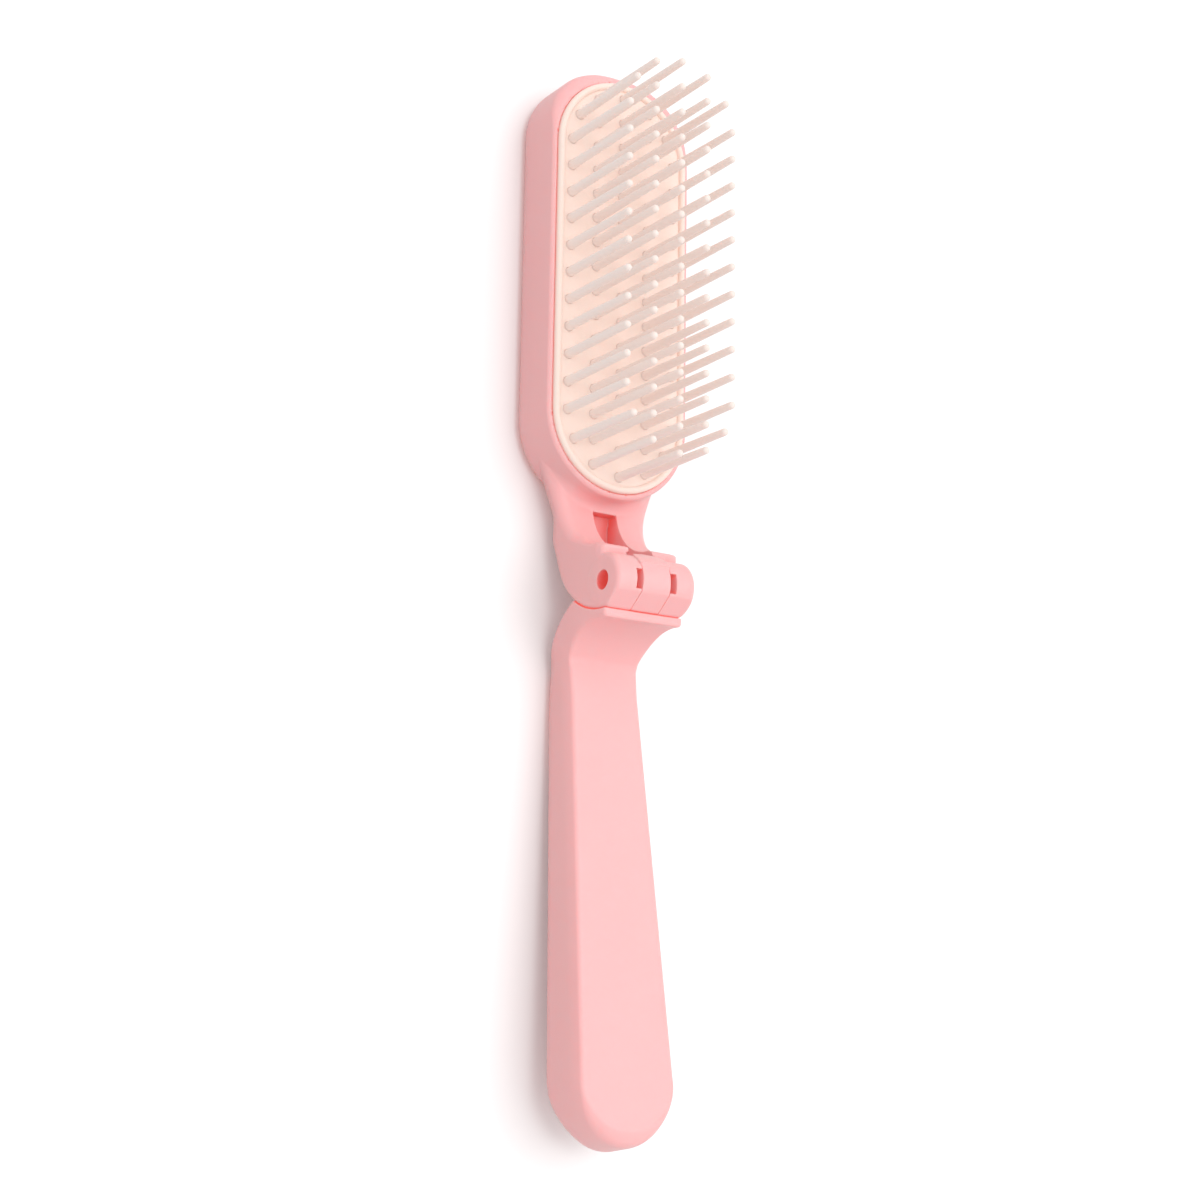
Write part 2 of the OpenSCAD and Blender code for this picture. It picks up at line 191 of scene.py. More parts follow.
def spacing(*stretches):
    # grid lines along one axis: (from, to, step) for each stretch
    lines = [np.linspace(a, b, max(2, int(round((b - a) / step)) + 1))[:-1] for a, b, step in stretches]
    return np.concatenate(lines + [[stretches[-1][1]]])


# The head with its neck and the two outer knuckles. A fade is where a rounding or taper begins and ends.

head = dict(
    depth=11.8, backRound=3.0, cornerRound=11.5, earRise=3.0,
    rimWall=0.8, rimInner=0.15, rimOuter=0.7, rimLeast=0.4, rimMost=2.0,
    pocketDepth=3.0, grooveDepth=0.05, padGap=0.03,
    neckDepth=7.6, neckHalf=7.95, sideBlend=44.0, hollow=10.0, backArc=30.0,
    neckBackRound=3.0, earBackRound=0.9, earBackFade=(0, 11), farBackRound=6.5, farBackFade=(9, 15),
    neckFrontRound=2.2, lipFrontRound=0.8, lipFrontFade=(0.6, 3.5),
    lipReach=1.6, lipZ=-0.4, lipRound=0.35, wallReach=0.55,
    lipTaper=0.3, lipTaperStart=-2.5, lipTaperFade=(3, 5.5),
    headFillet=2.2, filletRise=1.5, filletFade=(0, 3), barrelFillet=0.3,
    slotHalf=2.4, slotReach=15.1, slotWall=2.0)
hingeParts = dict(
    knuckleHalf=2.78, gap=0.04, edge=0.12, endRound=0.9, bore=1.68, boreEdge=0.15,
    window=1.2, windowOverlap=0.5, heelOut=0.75, heelHalf=0.4, heelGap=0.1, heelBase=3.2,
    heelFace=(0.8, 0.6), heelFill=1.2, webDrop=0.2, webRise=0.3, webFill=0.15,
    flatTurn=math.radians(52), flatShare=0.905, seatGap=0.4, seatGapSeen=0.06, flangeZ=0.8)
headGrid = dict(
    margin=0.4, side=0.36, middle=0.22, middleHalf=9, hinge=0.175, neck=0.29, bowl=0.34, straight=1.5,
    tip=0.36, back=0.36, body=0.26, rim=0.15, top=0.18)

rimZ = tableZ + head["depth"]
pocketRadius = headRadius - head["rimWall"]
earRadius = -tableZ - head["earRise"]
earY = earRadius - barrelRadius
backY = earY + math.sqrt((head["backArc"] - earRadius) ** 2 - (head["backArc"] + tableZ) ** 2)
backZ = head["backArc"] + tableZ
neckZ = tableZ + head["neckDepth"]
blendX = head["neckHalf"] + head["sideBlend"]
blendY = nearEnd - math.sqrt((headRadius + head["sideBlend"]) ** 2 - blendX ** 2)
earIn = hingeParts["knuckleHalf"] + hingeParts["gap"]
lipY = barrelRadius + head["lipReach"]
heelY = barrelRadius + hingeParts["heelOut"]
swingRadius = math.hypot(heelY, hingeParts["heelHalf"]) + hingeParts["heelGap"]


def headOutline(x, y):
    # half round at the neck's end, with two rounded corners at the far end
    r = head["cornerRound"]
    a, b = x - headRadius + r, y - headHigh.y + r
    far = np.minimum(np.maximum(a, b), 0) + np.hypot(np.maximum(a, 0), np.maximum(b, 0)) - r
    return np.where(y < nearEnd, np.hypot(x, y - nearEnd) - headRadius, far)


def tubField(x, y, z):
    wall = headOutline(x, y)
    rimWidth = stadium(x, y, pocketRadius) - wall
    rimRound = np.clip(head["rimOuter"] * rimWidth / head["rimWall"], head["rimLeast"], head["rimMost"])
    return cutEdge(cutEdge(wall, tableZ - z, head["backRound"]), z - rimZ, rimRound)


def neckOutline(x, y, z):
    # from above: straight beside the hinge, then an arc that runs out to the head
    arcSide = head["sideBlend"] - np.hypot(x - blendX, y - blendY)
    outline = np.where(y < blendY, x - head["neckHalf"], arcSide)
    towards = math.atan2(nearEnd - blendY, -blendX)
    beyond = (y - blendY) * -math.cos(towards) + (x - blendX) * math.sin(towards)
    outline = np.maximum(outline, np.where(y < blendY, farInside, beyond))
    # the lip's ends draw in towards its top
    rise = ramp(z, head["lipTaperStart"], head["lipZ"])
    return outline + head["lipTaper"] * rise * ramp(y, *head["lipTaperFade"])


def neckBack(y, z):
    # the ears' round, an arc that meets it, and the flat that the brush lies on
    ear = np.hypot(y - earY, z) - earRadius
    arc = np.hypot(y - backY, z - backZ) - head["backArc"]
    pastEar = (y - earY) * backZ - z * (backY - earY) > 0
    return np.where(pastEar, np.where(y > backY, tableZ - z, arc), ear)


def neckFront(y, z):
    # the hollow front, which rises to the lip's front wall and its rounded top
    wallTop = head["hollow"] + neckZ
    lean = math.atan2(head["wallReach"], head["lipZ"] - wallTop)
    wall = (y - lipY) * math.cos(lean) + (z - head["lipZ"]) * math.sin(lean)
    wall = np.maximum(wall, y - lipY - head["wallReach"])
    lip = cutEdge(wall, z - head["lipZ"], head["lipRound"])
    return fillCorner(z - neckZ, lip, head["hollow"])


def neckField(y, z, outline):
    nearEar = head["neckBackRound"] - head["earBackRound"]
    nearHead = head["farBackRound"] - head["neckBackRound"]
    backRound = (head["earBackRound"] + nearEar * ramp(y, *head["earBackFade"])
                 + nearHead * ramp(y, *head["farBackFade"]))
    fadeStart, fadeEnd = head["lipFrontFade"]
    pastLip = ramp(y, lipY + fadeStart, lipY + fadeEnd)
    frontRound = head["lipFrontRound"] + (head["neckFrontRound"] - head["lipFrontRound"]) * pastLip
    neck = cutEdge(cutEdge(outline, neckBack(y, z), backRound), neckFront(y, z), frontRound)
    return np.maximum(neck, y - nearEnd)


def barrelField(x, y, z, half, endRound):
    # the hinge's barrel out to half its width, with the flat that slopes across it
    turn = hingeParts["flatTurn"]
    flat = z * math.cos(turn) - y * math.sin(turn) - hingeParts["flatShare"] * barrelRadius
    return cutEdge(cutEdge(np.hypot(y, z) - barrelRadius, x - half, endRound), flat, hingeParts["edge"])


def headCuts(x, y, z, solid):
    # the pocket for the pad; a ledge under the rim makes the groove around the pad shallow
    groove = np.maximum(stadium(x, y, pocketRadius), rimZ - head["grooveDepth"] - z)
    pocket = np.maximum(stadium(x, y, padRadius + head["padGap"]), rimZ - head["pocketDepth"] - z)
    solid = cutEdge(solid, -np.minimum(groove, pocket), head["rimInner"])
    # room for the middle knuckle, and the slot beyond it
    room = np.minimum(np.hypot(y, z) - swingRadius, np.maximum(y, -z - swingRadius))
    room = np.maximum(room, x - earIn)
    slot = np.maximum(np.hypot(y - earY, z) - earRadius + head["slotWall"], y - head["slotReach"])
    slot = np.maximum(slot, x - head["slotHalf"])
    solid = cutEdge(solid, -np.minimum(room, slot), hingeParts["edge"])
    # the bore and the windows over it
    solid = cutEdge(solid, hingeParts["bore"] - np.hypot(y, z), hingeParts["boreEdge"])
    window = np.maximum(np.abs(y) - hingeParts["bore"], -z)
    ends = np.maximum(x - earIn - hingeParts["window"], earIn - hingeParts["windowOverlap"] - x)
    return cutEdge(solid, -np.maximum(window, ends), hingeParts["edge"])


def headField(x, y, z):
    x = np.abs(x)
    outline = neckOutline(x, y, z)
    barrel = barrelField(x, y, z, head["neckHalf"], hingeParts["endRound"])
    neck = fillCorner(neckField(y, z, outline), barrel, head["barrelFillet"])
    # the fillet in the step between neck and tub fades out towards the sides and the back
    fillet = head["headFillet"] * ramp(z, neckZ - head["filletRise"], neckZ)
    fillet = fillet * ramp(-outline, *head["filletFade"])
    return headCuts(x, y, z, fillCorner(neck, tubField(x, y, z), fillet))


print("head shell")
lipEnd = lipY + 1
bowlStart = nearEnd - headRadius - 1
bodyZ = neckZ - 0.5
rimLowZ = rimZ - 1
rimTopZ = rimZ + 0.3
margin = headGrid["margin"]
headShell = skinField(
    "headShell", headField,
    spacing((-headRadius - margin, -headGrid["middleHalf"], headGrid["side"]),
            (-headGrid["middleHalf"], headGrid["middleHalf"], headGrid["middle"]),
            (headGrid["middleHalf"], headRadius + margin, headGrid["side"])),
    spacing((headLow.y - margin, lipEnd, headGrid["hinge"]), (lipEnd, bowlStart, headGrid["neck"]),
            (bowlStart, nearEnd, headGrid["bowl"]), (nearEnd, farEnd, headGrid["straight"]),
            (farEnd, headHigh.y + margin, headGrid["tip"])),
    spacing((tableZ - margin, bodyZ, headGrid["back"]), (bodyZ, rimLowZ, headGrid["body"]),
            (rimLowZ, rimTopZ, headGrid["rim"]), (rimTopZ, barrelRadius + margin, headGrid["top"])))
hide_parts("head_shell")
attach(headShell, "head")
print("head shell faces", len(headShell.data.polygons))


# The handle, drawn in its own frame: u along the front face from the axis, w at right angles to it

handle = dict(
    length=91.0, lean=math.radians(7.5), taper=math.radians(2.75), drop=12.7,
    waistHalf=7.1, waistAt=16.0, shoulderHalf=7.95, shoulderFade=(5.5, 11.5),
    creaseAt=10.0, creaseOverlap=1.0, creaseFillet=0.5, frontBow=2.0, flangeReach=1.6, flangeRound=0.6,
    frontRound=0.6, endFrontRound=2.4, seatBackRound=1.0, seatBackFade=(2, 15), backRound=3.0,
    endBackRound=5.5, endFade=(0.0, 0.9), sideLean=0.45, sideLeanDepth=3.2, sideLeanFade=(4, 16),
    neckArc=19.0, seatTurn=math.radians(36), seatEdge=0.2,
    endLonger=0.8, endLongerBack=4.0, endDepth=12.5)
cover = dict(start=24.0, inset=2.4, depth=1.5, gap=0.08, edge=0.22)
handleGrid = dict(
    side=0.22, end=0.2, straight=0.9, neck=0.35, hinge=0.18, height=0.2, neckFrom=-26, hingeFrom=-13)
coverGrid = dict(
    side=0.25, end=0.2, straight=0.9, start=0.3, height=0.2, startFrom=-30, startTo=-15, above=2)

frontW = -handle["drop"]
endHalf = gripHigh.x
endAt = handle["length"] - endHalf
gripRun = endAt - handle["waistAt"]
seatRadius = earRadius + hingeParts["seatGap"]
notchY = earY - seatRadius * math.cos(handle["seatTurn"])
notchZ = -seatRadius * math.sin(handle["seatTurn"])
neckArcZ = handle["neckArc"] + tableZ
neckArcY = notchY - math.sqrt(handle["neckArc"] ** 2 - (notchZ - neckArcZ) ** 2)
flangeY = -barrelRadius - hingeParts["seatGapSeen"]
flangeLowY = flangeY - handle["flangeReach"]
webLowY = flangeY - handle["flangeReach"] / 2
coverStartHalf = handle["waistHalf"] + (
    endHalf - handle["waistHalf"]) * (cover["start"] - handle["waistAt"]) / gripRun


def turned(y, z):
    # from the hinge's side view to the handle's own frame, and back again
    c, s = math.cos(handle["lean"]), math.sin(handle["lean"])
    return z * s - y * c, y * s + z * c


backLean = handle["lean"] - handle["taper"]
backU, backW = turned(neckArcY - handle["neckArc"] * math.sin(backLean),
                      neckArcZ - handle["neckArc"] * math.cos(backLean))


def handleBack(u, w):
    # distance outside the sloping back face
    t = handle["taper"]
    return -(w - backW) * math.cos(t) - (u - backU) * math.sin(t)


def gripOutline(x, u):
    # two circles, the waist's and the end's, with the straight lines that touch both
    r1, r2 = handle["waistHalf"], endHalf
    k = (r2 - r1) / gripRun
    c = math.sqrt(1 - k * k)
    v = u - handle["waistAt"]
    along = v * c + x * k
    side = x * c - v * k - r1
    return np.where(along > gripRun * c, np.hypot(x, v - gripRun) - r2, side)


def endOutline(x, u, w):
    # the round end, drawn out more towards the back than at the front
    deep = np.clip((frontW - w) / handle["endDepth"], 0, 1)
    longer = handle["endLonger"] + (handle["endLongerBack"] - handle["endLonger"]) * deep
    reach = endHalf + longer
    v = np.maximum(u - handle["length"] + reach, 0)
    f = np.hypot(x / endHalf, v / reach)
    oval = (f - 1) * f / np.maximum(np.hypot(x / endHalf ** 2, v / reach ** 2), tiny)
    return np.where(v > 0, oval, x - endHalf)


def handleOutline(x, u, w):
    # the shoulders beside the hinge, the waist, and the grip that widens to its round end
    atNeck = 1 - ramp(u, *handle["shoulderFade"])
    shoulder = x - handle["waistHalf"] - (handle["shoulderHalf"] - handle["waistHalf"]) * atNeck
    return np.where(u < handle["waistAt"], shoulder, np.maximum(gripOutline(x, u), endOutline(x, u, w)))


def neckHollow(y, z):
    # the neck's hollow front: an arc that runs from the crease up to the flange
    creaseY, creaseZ = turned(handle["creaseAt"], frontW)
    spanY, spanZ = flangeLowY - creaseY, hingeParts["flangeZ"] - creaseZ
    half = math.hypot(spanY, spanZ) / 2
    arcRadius = (half ** 2 + handle["frontBow"] ** 2) / (2 * handle["frontBow"])
    lift = (arcRadius - handle["frontBow"]) / (2 * half)
    arcY = (creaseY + flangeLowY) / 2 - spanZ * lift
    arcZ = (creaseZ + hingeParts["flangeZ"]) / 2 + spanY * lift
    hollow = np.maximum(arcRadius - np.hypot(y - arcY, z - arcZ), creaseY - handle["creaseOverlap"] - y)
    return cutEdge(hollow, z - hingeParts["flangeZ"], handle["flangeRound"])


def gripForm(x, y, z):
    # place in the handle's frame, outline, and the grip and neck without knuckle, bore or recess
    u, w = turned(y, z)
    outline = handleOutline(x, u, w)
    # the sides lean in a little towards the front face
    upSide = np.clip((w - frontW) / handle["sideLeanDepth"] + 1, 0, 1) ** 2
    side = outline + handle["sideLean"] * upSide * ramp(u, *handle["sideLeanFade"])
    front = fillCorner(w - frontW, neckHollow(y, z), handle["creaseFillet"])
    arc = np.hypot(y - neckArcY, z - neckArcZ) - handle["neckArc"]
    back = np.where(u > backU, handleBack(u, w), arc)
    # the roundings grow round the grip's end
    atEnd = ramp((u - endAt) / endHalf, *handle["endFade"])
    pastSeat = ramp(u, *handle["seatBackFade"])
    backRound = (handle["seatBackRound"] + (handle["backRound"] - handle["seatBackRound"]) * pastSeat
                 + (handle["endBackRound"] - handle["backRound"]) * atEnd)
    frontRound = handle["frontRound"] + (handle["endFrontRound"] - handle["frontRound"]) * atEnd
    grip = cutEdge(cutEdge(side, back, backRound), front, frontRound)
    # the seat under the ears
    seat = earRadius + hingeParts["seatGapSeen"] - np.hypot(y - earY, z)
    return u, w, outline, cutEdge(grip, seat, handle["seatEdge"])


def knuckleField(x, y, z):
    # the middle knuckle, its heel towards the head and its web to the flange
    heel = np.maximum(np.maximum(y - heelY, -y), np.abs(z) - hingeParts["heelHalf"])
    faceY, faceZ = hingeParts["heelFace"]
    slope = (y - heelY) * faceY + (z - hingeParts["heelHalf"]) * faceZ
    slope = np.maximum(np.maximum(slope, y - heelY), np.maximum(hingeParts["heelBase"] - y, -z))
    heel = np.maximum(np.minimum(heel, slope), x - hingeParts["knuckleHalf"])
    web = np.maximum(np.maximum(webLowY - y, y),
                     np.maximum(z - head["lipZ"] + hingeParts["webDrop"],
                                hingeParts["webRise"] - barrelRadius - z))
    web = np.maximum(web, x - hingeParts["knuckleHalf"])
    knuckle = barrelField(x, y, z, hingeParts["knuckleHalf"], hingeParts["edge"])
    return fillCorner(fillCorner(knuckle, heel, hingeParts["heelFill"]), web, hingeParts["webFill"])


def coverForm(x, u, w, outline, inset):
    cap = np.hypot(x, u - cover["start"]) - coverStartHalf
    outline = np.where(u < cover["start"], cap, outline)
    return np.maximum(outline + inset, -handleBack(u, w) - cover["depth"])


def handleField(x, y, z):
    x = np.abs(x)
    u, w, outline, grip = gripForm(x, y, z)
    solid = np.minimum(grip, knuckleField(x, y, z))
    # the bore, its two notches towards the head, and the recess for the cover
    solid = cutEdge(solid, hingeParts["bore"] - np.hypot(y, z), hingeParts["boreEdge"])
    notch = np.maximum(np.abs(z) - hingeParts["bore"], -y)
    notch = np.maximum(notch, hingeParts["knuckleHalf"] - hingeParts["window"] - x)
    solid = cutEdge(solid, -notch, hingeParts["edge"])
    return cutEdge(solid, -coverForm(x, u, w, outline, cover["inset"]), cover["edge"])


def coverField(x, y, z):
    x = np.abs(x)
    u, w, outline, grip = gripForm(x, y, z)
    return cutEdge(grip, coverForm(x, u, w, outline, cover["inset"] + cover["gap"]), cover["edge"])


print("handle shell")
endLow = gripLow.y - margin
endHigh = gripLow.y + endHalf + 1
handleShell = skinField(
    "handleShell", handleField,
    spacing((-endHalf - margin, endHalf + margin, handleGrid["side"])),
    spacing((endLow, endHigh, handleGrid["end"]), (endHigh, handleGrid["neckFrom"], handleGrid["straight"]),
            (handleGrid["neckFrom"], handleGrid["hingeFrom"], handleGrid["neck"]),
            (handleGrid["hingeFrom"], barrelRadius + margin, handleGrid["hinge"])),
    spacing((tableZ - margin, barrelRadius + margin, handleGrid["height"])))
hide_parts("handle_shell")
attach(handleShell, "handle")
print("handle shell faces", len(handleShell.data.polygons))

print("back cover")
backCover = skinField(
    "backCover", coverField,
    spacing((-endHalf - margin, endHalf + margin, coverGrid["side"])),
    spacing((endLow, endHigh, coverGrid["end"]), (endHigh, coverGrid["startFrom"], coverGrid["straight"]),
            (coverGrid["startFrom"], coverGrid["startTo"], coverGrid["start"])),
    spacing((tableZ - margin, coverTop + coverGrid["above"], coverGrid["height"])))
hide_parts("handle_back_cover")
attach(backCover, "handle")
print("back cover faces", len(backCover.data.polygons))


# Materials

def newMaterial(name):
    mat = bpy.data.materials.new(name)
    mat.use_nodes = True
    nodes = mat.node_tree.nodes
    nodes.clear()
    out = nodes.new("ShaderNodeOutputMaterial")
    shader = nodes.new("ShaderNodeBsdfPrincipled")
    mat.node_tree.links.new(shader.outputs["BSDF"], out.inputs["Surface"])
    return mat, nodes, mat.node_tree.links, shader


def newGroup(name, values, results):
    # a node group whose inputs start at the values listed, each a colour or a number
    group = bpy.data.node_groups.new(name, "ShaderNodeTree")
    for label, value in values.items():
        kind = "NodeSocketColor" if isinstance(value, tuple) else "NodeSocketFloat"
        group.interface.new_socket(label, in_out="INPUT", socket_type=kind).default_value = value
    for label, kind in results.items():
        group.interface.new_socket(label, in_out="OUTPUT", socket_type="NodeSocket" + kind)
    nodes = group.nodes
    return group, nodes, group.links, nodes.new("NodeGroupInput"), nodes.new("NodeGroupOutput")


def maths(nodes, links, kind, a, b, clamped=False):
    node = nodes.new("ShaderNodeMath")
    node.operation = kind
    node.use_clamp = clamped
    for i, value in enumerate((a, b)):
        if isinstance(value, (int, float)):
            node.inputs[i].default_value = value
        else:
            links.new(value, node.inputs[i])
    return node.outputs[0]


def mouldedSkinGroup():
    # faint flow marks and the fine texture of a moulding: tint, gloss and height for any plastic
    values = {"Color": (0.8, 0.8, 0.8, 1), "Gloss": 0.3, "Gloss Spread": 0.06, "Tint Spread": 0.03,
              "Flow Scale": 90.0, "Grain Scale": 2600.0}
    detail = {"Flow": 3, "Grain": 2}
    share = {"Flow": 0.6, "Grain": 0.4}
    group, nodes, links, given, result = newGroup(
        "mouldedSkin", values, {"Color": "Color", "Roughness": "Float", "Height": "Float"})
    place = nodes.new("ShaderNodeTexCoord")
    noise = {}
    for kind in detail:
        texture = nodes.new("ShaderNodeTexNoise")
        texture.inputs["Detail"].default_value = detail[kind]
        links.new(place.outputs["Object"], texture.inputs["Vector"])
        links.new(given.outputs[kind + " Scale"], texture.inputs["Scale"])
        noise[kind] = texture.outputs["Fac"]

    centred = maths(nodes, links, "SUBTRACT", noise["Flow"], 0.5)
    tint = nodes.new("ShaderNodeHueSaturation")
    links.new(given.outputs["Color"], tint.inputs["Color"])
    spread = maths(nodes, links, "MULTIPLY", centred, given.outputs["Tint Spread"])
    links.new(maths(nodes, links, "ADD", 1.0, spread), tint.inputs["Value"])
    links.new(tint.outputs["Color"], result.inputs["Color"])
    spread = maths(nodes, links, "MULTIPLY", centred, given.outputs["Gloss Spread"])
    links.new(maths(nodes, links, "ADD", given.outputs["Gloss"], spread), result.inputs["Roughness"])
    broad, fine = (maths(nodes, links, "MULTIPLY", noise[kind], share[kind]) for kind in noise)
    links.new(maths(nodes, links, "ADD", broad, fine), result.inputs["Height"])
    return group


def paintedShadeAndGlowGroup():
    # painted shade and glow in recesses: ambient occlusion finds where a place is closed in, and there the
    # colour is painted deeper and an emission glow is added, standing in for light that gets into a recess of
    # translucent plastic and comes out deeper in colour
    values = {"Color": (0.8, 0.5, 0.5, 1), "Painted Shade Color": (0.8, 0.1, 0.1, 1), "Painted Glow Color": (0.8, 0.2, 0.1, 1),
              "Reach": 0.005, "Gain": 1.2, "Start": 0.1,
              "Tight Reach": 0.0015, "Tight Start": 0.42, "Tight Painted Glow": 3.0}
    aoSamples = 8
    group, nodes, links, given, result = newGroup(
        "paintedShadeAndGlow", values, {"Color": "Color", "Painted Glow Color": "Color"})

    def share(distance, start, onlyLocal):
        # how closed in a place is, by its own piece or by any piece
        opening = nodes.new("ShaderNodeAmbientOcclusion")
        opening.samples = aoSamples
        opening.only_local = onlyLocal
        links.new(given.outputs[distance], opening.inputs["Distance"])
        closed = maths(nodes, links, "SUBTRACT", 1.0, opening.outputs["AO"])
        past = maths(nodes, links, "SUBTRACT", closed, given.outputs[start])
        return maths(nodes, links, "MULTIPLY", past, given.outputs["Gain"], True)

    def mixTo(factor, first, last, label):
        mix = nodes.new("ShaderNodeMix")
        mix.data_type = "RGBA"
        mix.clamp_factor = False
        colorA, colorB = [socket for socket in mix.inputs if socket.type == "RGBA"]
        colorA.default_value = (0, 0, 0, 1)
        links.new(factor, mix.inputs[0])
        if first:
            links.new(given.outputs[first], colorA)
        links.new(given.outputs[last], colorB)
        links.new([socket for socket in mix.outputs if socket.type == "RGBA"][0], result.inputs[label])

    # painted shade takes the colour towards the shade colour, and painted glow feeds the emission
    own, tight = share("Reach", "Start", True), share("Tight Reach", "Tight Start", False)
    tightPaintedGlow = maths(nodes, links, "MULTIPLY", tight, given.outputs["Tight Painted Glow"])
    paintedGlow = maths(nodes, links, "ADD", own, tightPaintedGlow)
    mixTo(maths(nodes, links, "MAXIMUM", own, tight), "Color", "Painted Shade Color", "Color")
    mixTo(paintedGlow, None, "Painted Glow Color", "Painted Glow Color")
    return group


mouldedSkin = mouldedSkinGroup()
paintedShadeAndGlow = paintedShadeAndGlowGroup()


def addGroup(nodes, group, colors, values):
    node = nodes.new("ShaderNodeGroup")
    node.node_tree = group
    for label, color in colors.items():
        node.inputs[label].default_value = (*color, 1)
    for label, value in values.items():
        node.inputs[label].default_value = value
    return node


def plastic(name, look):
    mat, nodes, links, shader = newMaterial(name)
    skin = addGroup(nodes, mouldedSkin, {"Color": look["color"]}, {
        "Gloss": look["roughness"], "Gloss Spread": look["glossSpread"], "Tint Spread": look["tintSpread"]})
    # the group paints shade into the base colour in recesses and paints glow into the emission
    deep = addGroup(nodes, paintedShadeAndGlow, {"Painted Shade Color": look["deep"], "Painted Glow Color": look["paintedGlow"]}, {
        "Reach": look["deepReach"], "Gain": look["deepGain"], "Start": look["deepStart"],
        "Tight Painted Glow": look["tightPaintedGlow"]})
    bump = nodes.new("ShaderNodeBump")
    bump.inputs["Strength"].default_value = look["bump"]
    bump.inputs["Distance"].default_value = look["bumpHeight"]
    links.new(skin.outputs["Color"], deep.inputs["Color"])
    links.new(deep.outputs["Color"], shader.inputs["Base Color"])
    links.new(deep.outputs["Painted Glow Color"], shader.inputs["Emission Color"])
    shader.inputs["Emission Strength"].default_value = look["paintedGlowStrength"]
    links.new(skin.outputs["Roughness"], shader.inputs["Roughness"])
    links.new(skin.outputs["Height"], bump.inputs["Height"])
    links.new(bump.outputs["Normal"], shader.inputs["Normal"])
    shader.inputs["IOR"].default_value = look["ior"]
    shader.inputs["Subsurface Weight"].default_value = look["glow"]
    shader.inputs["Subsurface Radius"].default_value = look["glowRadius"]
    shader.inputs["Subsurface Scale"].default_value = look["glowScale"]
    return mat


# each look also gives the painted shade and painted glow for its recesses: their colours, reach, gain, start
# and strength
pinkLook = dict(color=(0.94, 0.485, 0.485), roughness=0.34, glossSpread=0.06, tintSpread=0.03,
                deep=(0.9, 0.045, 0.035), deepReach=0.005, deepGain=1.7, deepStart=0.23,
                paintedGlow=(1.0, 0.42, 0.32), paintedGlowStrength=0.07, tightPaintedGlow=3.0,
                bump=0.05, bumpHeight=0.0002, ior=1.46,
                glow=0.5, glowRadius=(1.0, 0.35, 0.3), glowScale=0.002)
# the hinge pin gets a more orange colour than the shell: painted glow for what shows of it through the
# windows
pinLook = dict(pinkLook, color=(0.96, 0.35, 0.28), deep=(0.93, 0.1, 0.06))
padLook = dict(color=(0.95, 0.77, 0.69), roughness=0.42, glossSpread=0.06, tintSpread=0.02,
               deep=(0.95, 0.66, 0.55), deepReach=0.002, deepGain=0.9, deepStart=0.2,
               paintedGlow=(1.0, 0.6, 0.45), paintedGlowStrength=0.05, tightPaintedGlow=0.5,
               bump=0.06, bumpHeight=0.0002, ior=1.48,
               glow=0.2, glowRadius=(1.0, 0.6, 0.5), glowScale=0.001)
# a painted glow covers all of a thin pin, standing in for light spread through it, so its painted shade and
# glow start below zero
nylonLook = dict(color=(0.74, 0.66, 0.62), roughness=0.5, glossSpread=0.05, tintSpread=0.03,
                 deep=(0.74, 0.63, 0.58), deepReach=0.002, deepGain=0.5, deepStart=-1.0,
                 paintedGlow=(1.0, 0.87, 0.83), paintedGlowStrength=0.3, tightPaintedGlow=0.0,
                 bump=0.04, bumpHeight=0.0001, ior=1.5,
                 glow=0.4, glowRadius=(1.0, 0.8, 0.7), glowScale=0.001)

print("materials")
pinkPlastic = plastic("pinkPlastic", pinkLook)
pinPlastic = plastic("pinPlastic", pinLook)
creamPlastic = plastic("creamPlastic", padLook)
nylonPlastic = plastic("nylon", nylonLook)


def dress(piece, mat):
    piece.data.materials.clear()
    piece.data.materials.append(mat)


for piece in (headShell, handleShell, backCover):
    dress(piece, pinkPlastic)
dress(frame["nodes"]["hinge_pin"], pinPlastic)
dress(frame["nodes"]["pad"], creamPlastic)
for column in ("far_left", "left", "middle", "right", "far_right"):
    dress(frame["nodes"]["pin_strip_" + column], nylonPlastic)


# Floor, lights and camera

stage = dict(floorSize=6.0, floorSeen=1.0, floorBounce=0.62, floorMirrored=0.7,
             worldStrength=0.87, worldSeen=1.0, worldMirrored=1.0)
lamps = [
    dict(name="keySoftbox", at=(0.5, 0.35, 1.8), aim=(0, 0, 0), size=1.8, power=11.6),
    dict(name="topSoftbox", at=(-0.35, 0.02, 1.6), aim=(0, 0, 0), size=0.4, power=2.5),
]
view = dict(
    place=(-193.84, -79.24, 284.84), turn=(11.967, -33.268, 1.063), lens=62.806, film=36, nearest=0.01)


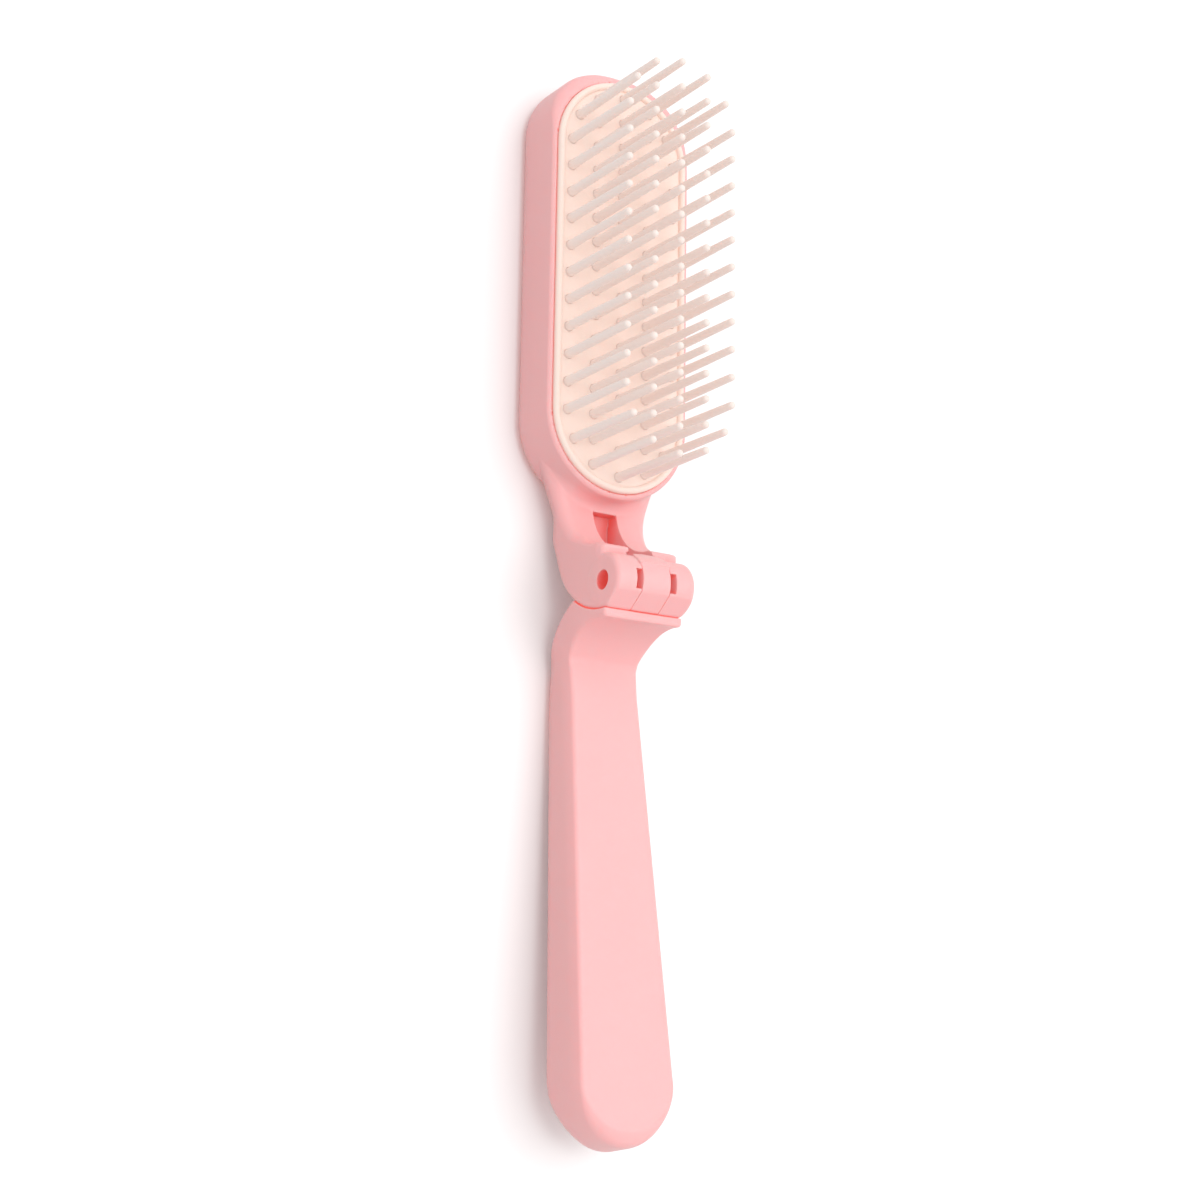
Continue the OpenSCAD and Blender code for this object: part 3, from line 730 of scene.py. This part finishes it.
def whiteWhere(nodes, links, socket, lit, seen, mirrored):
    # one value for light, one for what the camera sees and one for what shows in reflections
    path = nodes.new("ShaderNodeLightPath")
    value = lit
    rays = {"Is Glossy Ray": mirrored, "Is Transmission Ray": mirrored, "Is Camera Ray": seen}
    for ray, other in rays.items():
        mix = nodes.new("ShaderNodeMix")
        links.new(path.outputs[ray], mix.inputs["Factor"])
        if isinstance(value, float):
            mix.inputs["A"].default_value = value
        else:
            links.new(value, mix.inputs["A"])
        mix.inputs["B"].default_value = other
        value = mix.outputs["Result"]
    links.new(value, socket)


print("floor, lights and camera")
world = bpy.data.worlds.new("studio")
bpy.context.scene.world = world
world.use_nodes = True
background = world.node_tree.nodes["Background"]
background.inputs["Color"].default_value = (1, 1, 1, 1)
whiteWhere(world.node_tree.nodes, world.node_tree.links, background.inputs["Strength"],
           stage["worldStrength"], stage["worldSeen"], stage["worldMirrored"])

floorMesh = bpy.data.meshes.new("floor")
half = stage["floorSize"] / 2
floorCorners = [(-half, -half, 0), (half, -half, 0), (half, half, 0), (-half, half, 0)]
floorMesh.from_pydata(floorCorners, [], [(0, 1, 2, 3)])
floor = bpy.data.objects.new("floor", floorMesh)
bpy.context.scene.collection.objects.link(floor)
floorMat, floorNodes, floorLinks, floorShader = newMaterial("paleFloor")
whiteWhere(floorNodes, floorLinks, floorShader.inputs["Base Color"],
           stage["floorBounce"], stage["floorSeen"], stage["floorMirrored"])
floorShader.inputs["Roughness"].default_value = 1.0
floorShader.inputs["Specular IOR Level"].default_value = 0.0
dress(floor, floorMat)


def addLamp(lamp):
    data = bpy.data.lights.new(lamp["name"], "AREA")
    data.size = lamp["size"]
    data.energy = lamp["power"]
    light = bpy.data.objects.new(lamp["name"], data)
    bpy.context.scene.collection.objects.link(light)
    light.location = lamp["at"]
    light.rotation_euler = (Vector(lamp["aim"]) - Vector(lamp["at"])).to_track_quat("-Z", "Y").to_euler()


for lamp in lamps:
    addLamp(lamp)

cameraData = bpy.data.cameras.new("camera")
cameraData.sensor_width = view["film"]
cameraData.lens = view["lens"]
cameraData.clip_start = view["nearest"]
camera = bpy.data.objects.new("camera", cameraData)
bpy.context.scene.collection.objects.link(camera)
camera.location = hinge + Vector(view["place"]) * mm
camera.rotation_euler = Euler([math.radians(a) for a in view["turn"]], "XYZ")
bpy.context.scene.camera = camera
bpy.context.scene.view_settings.view_transform = "Standard"
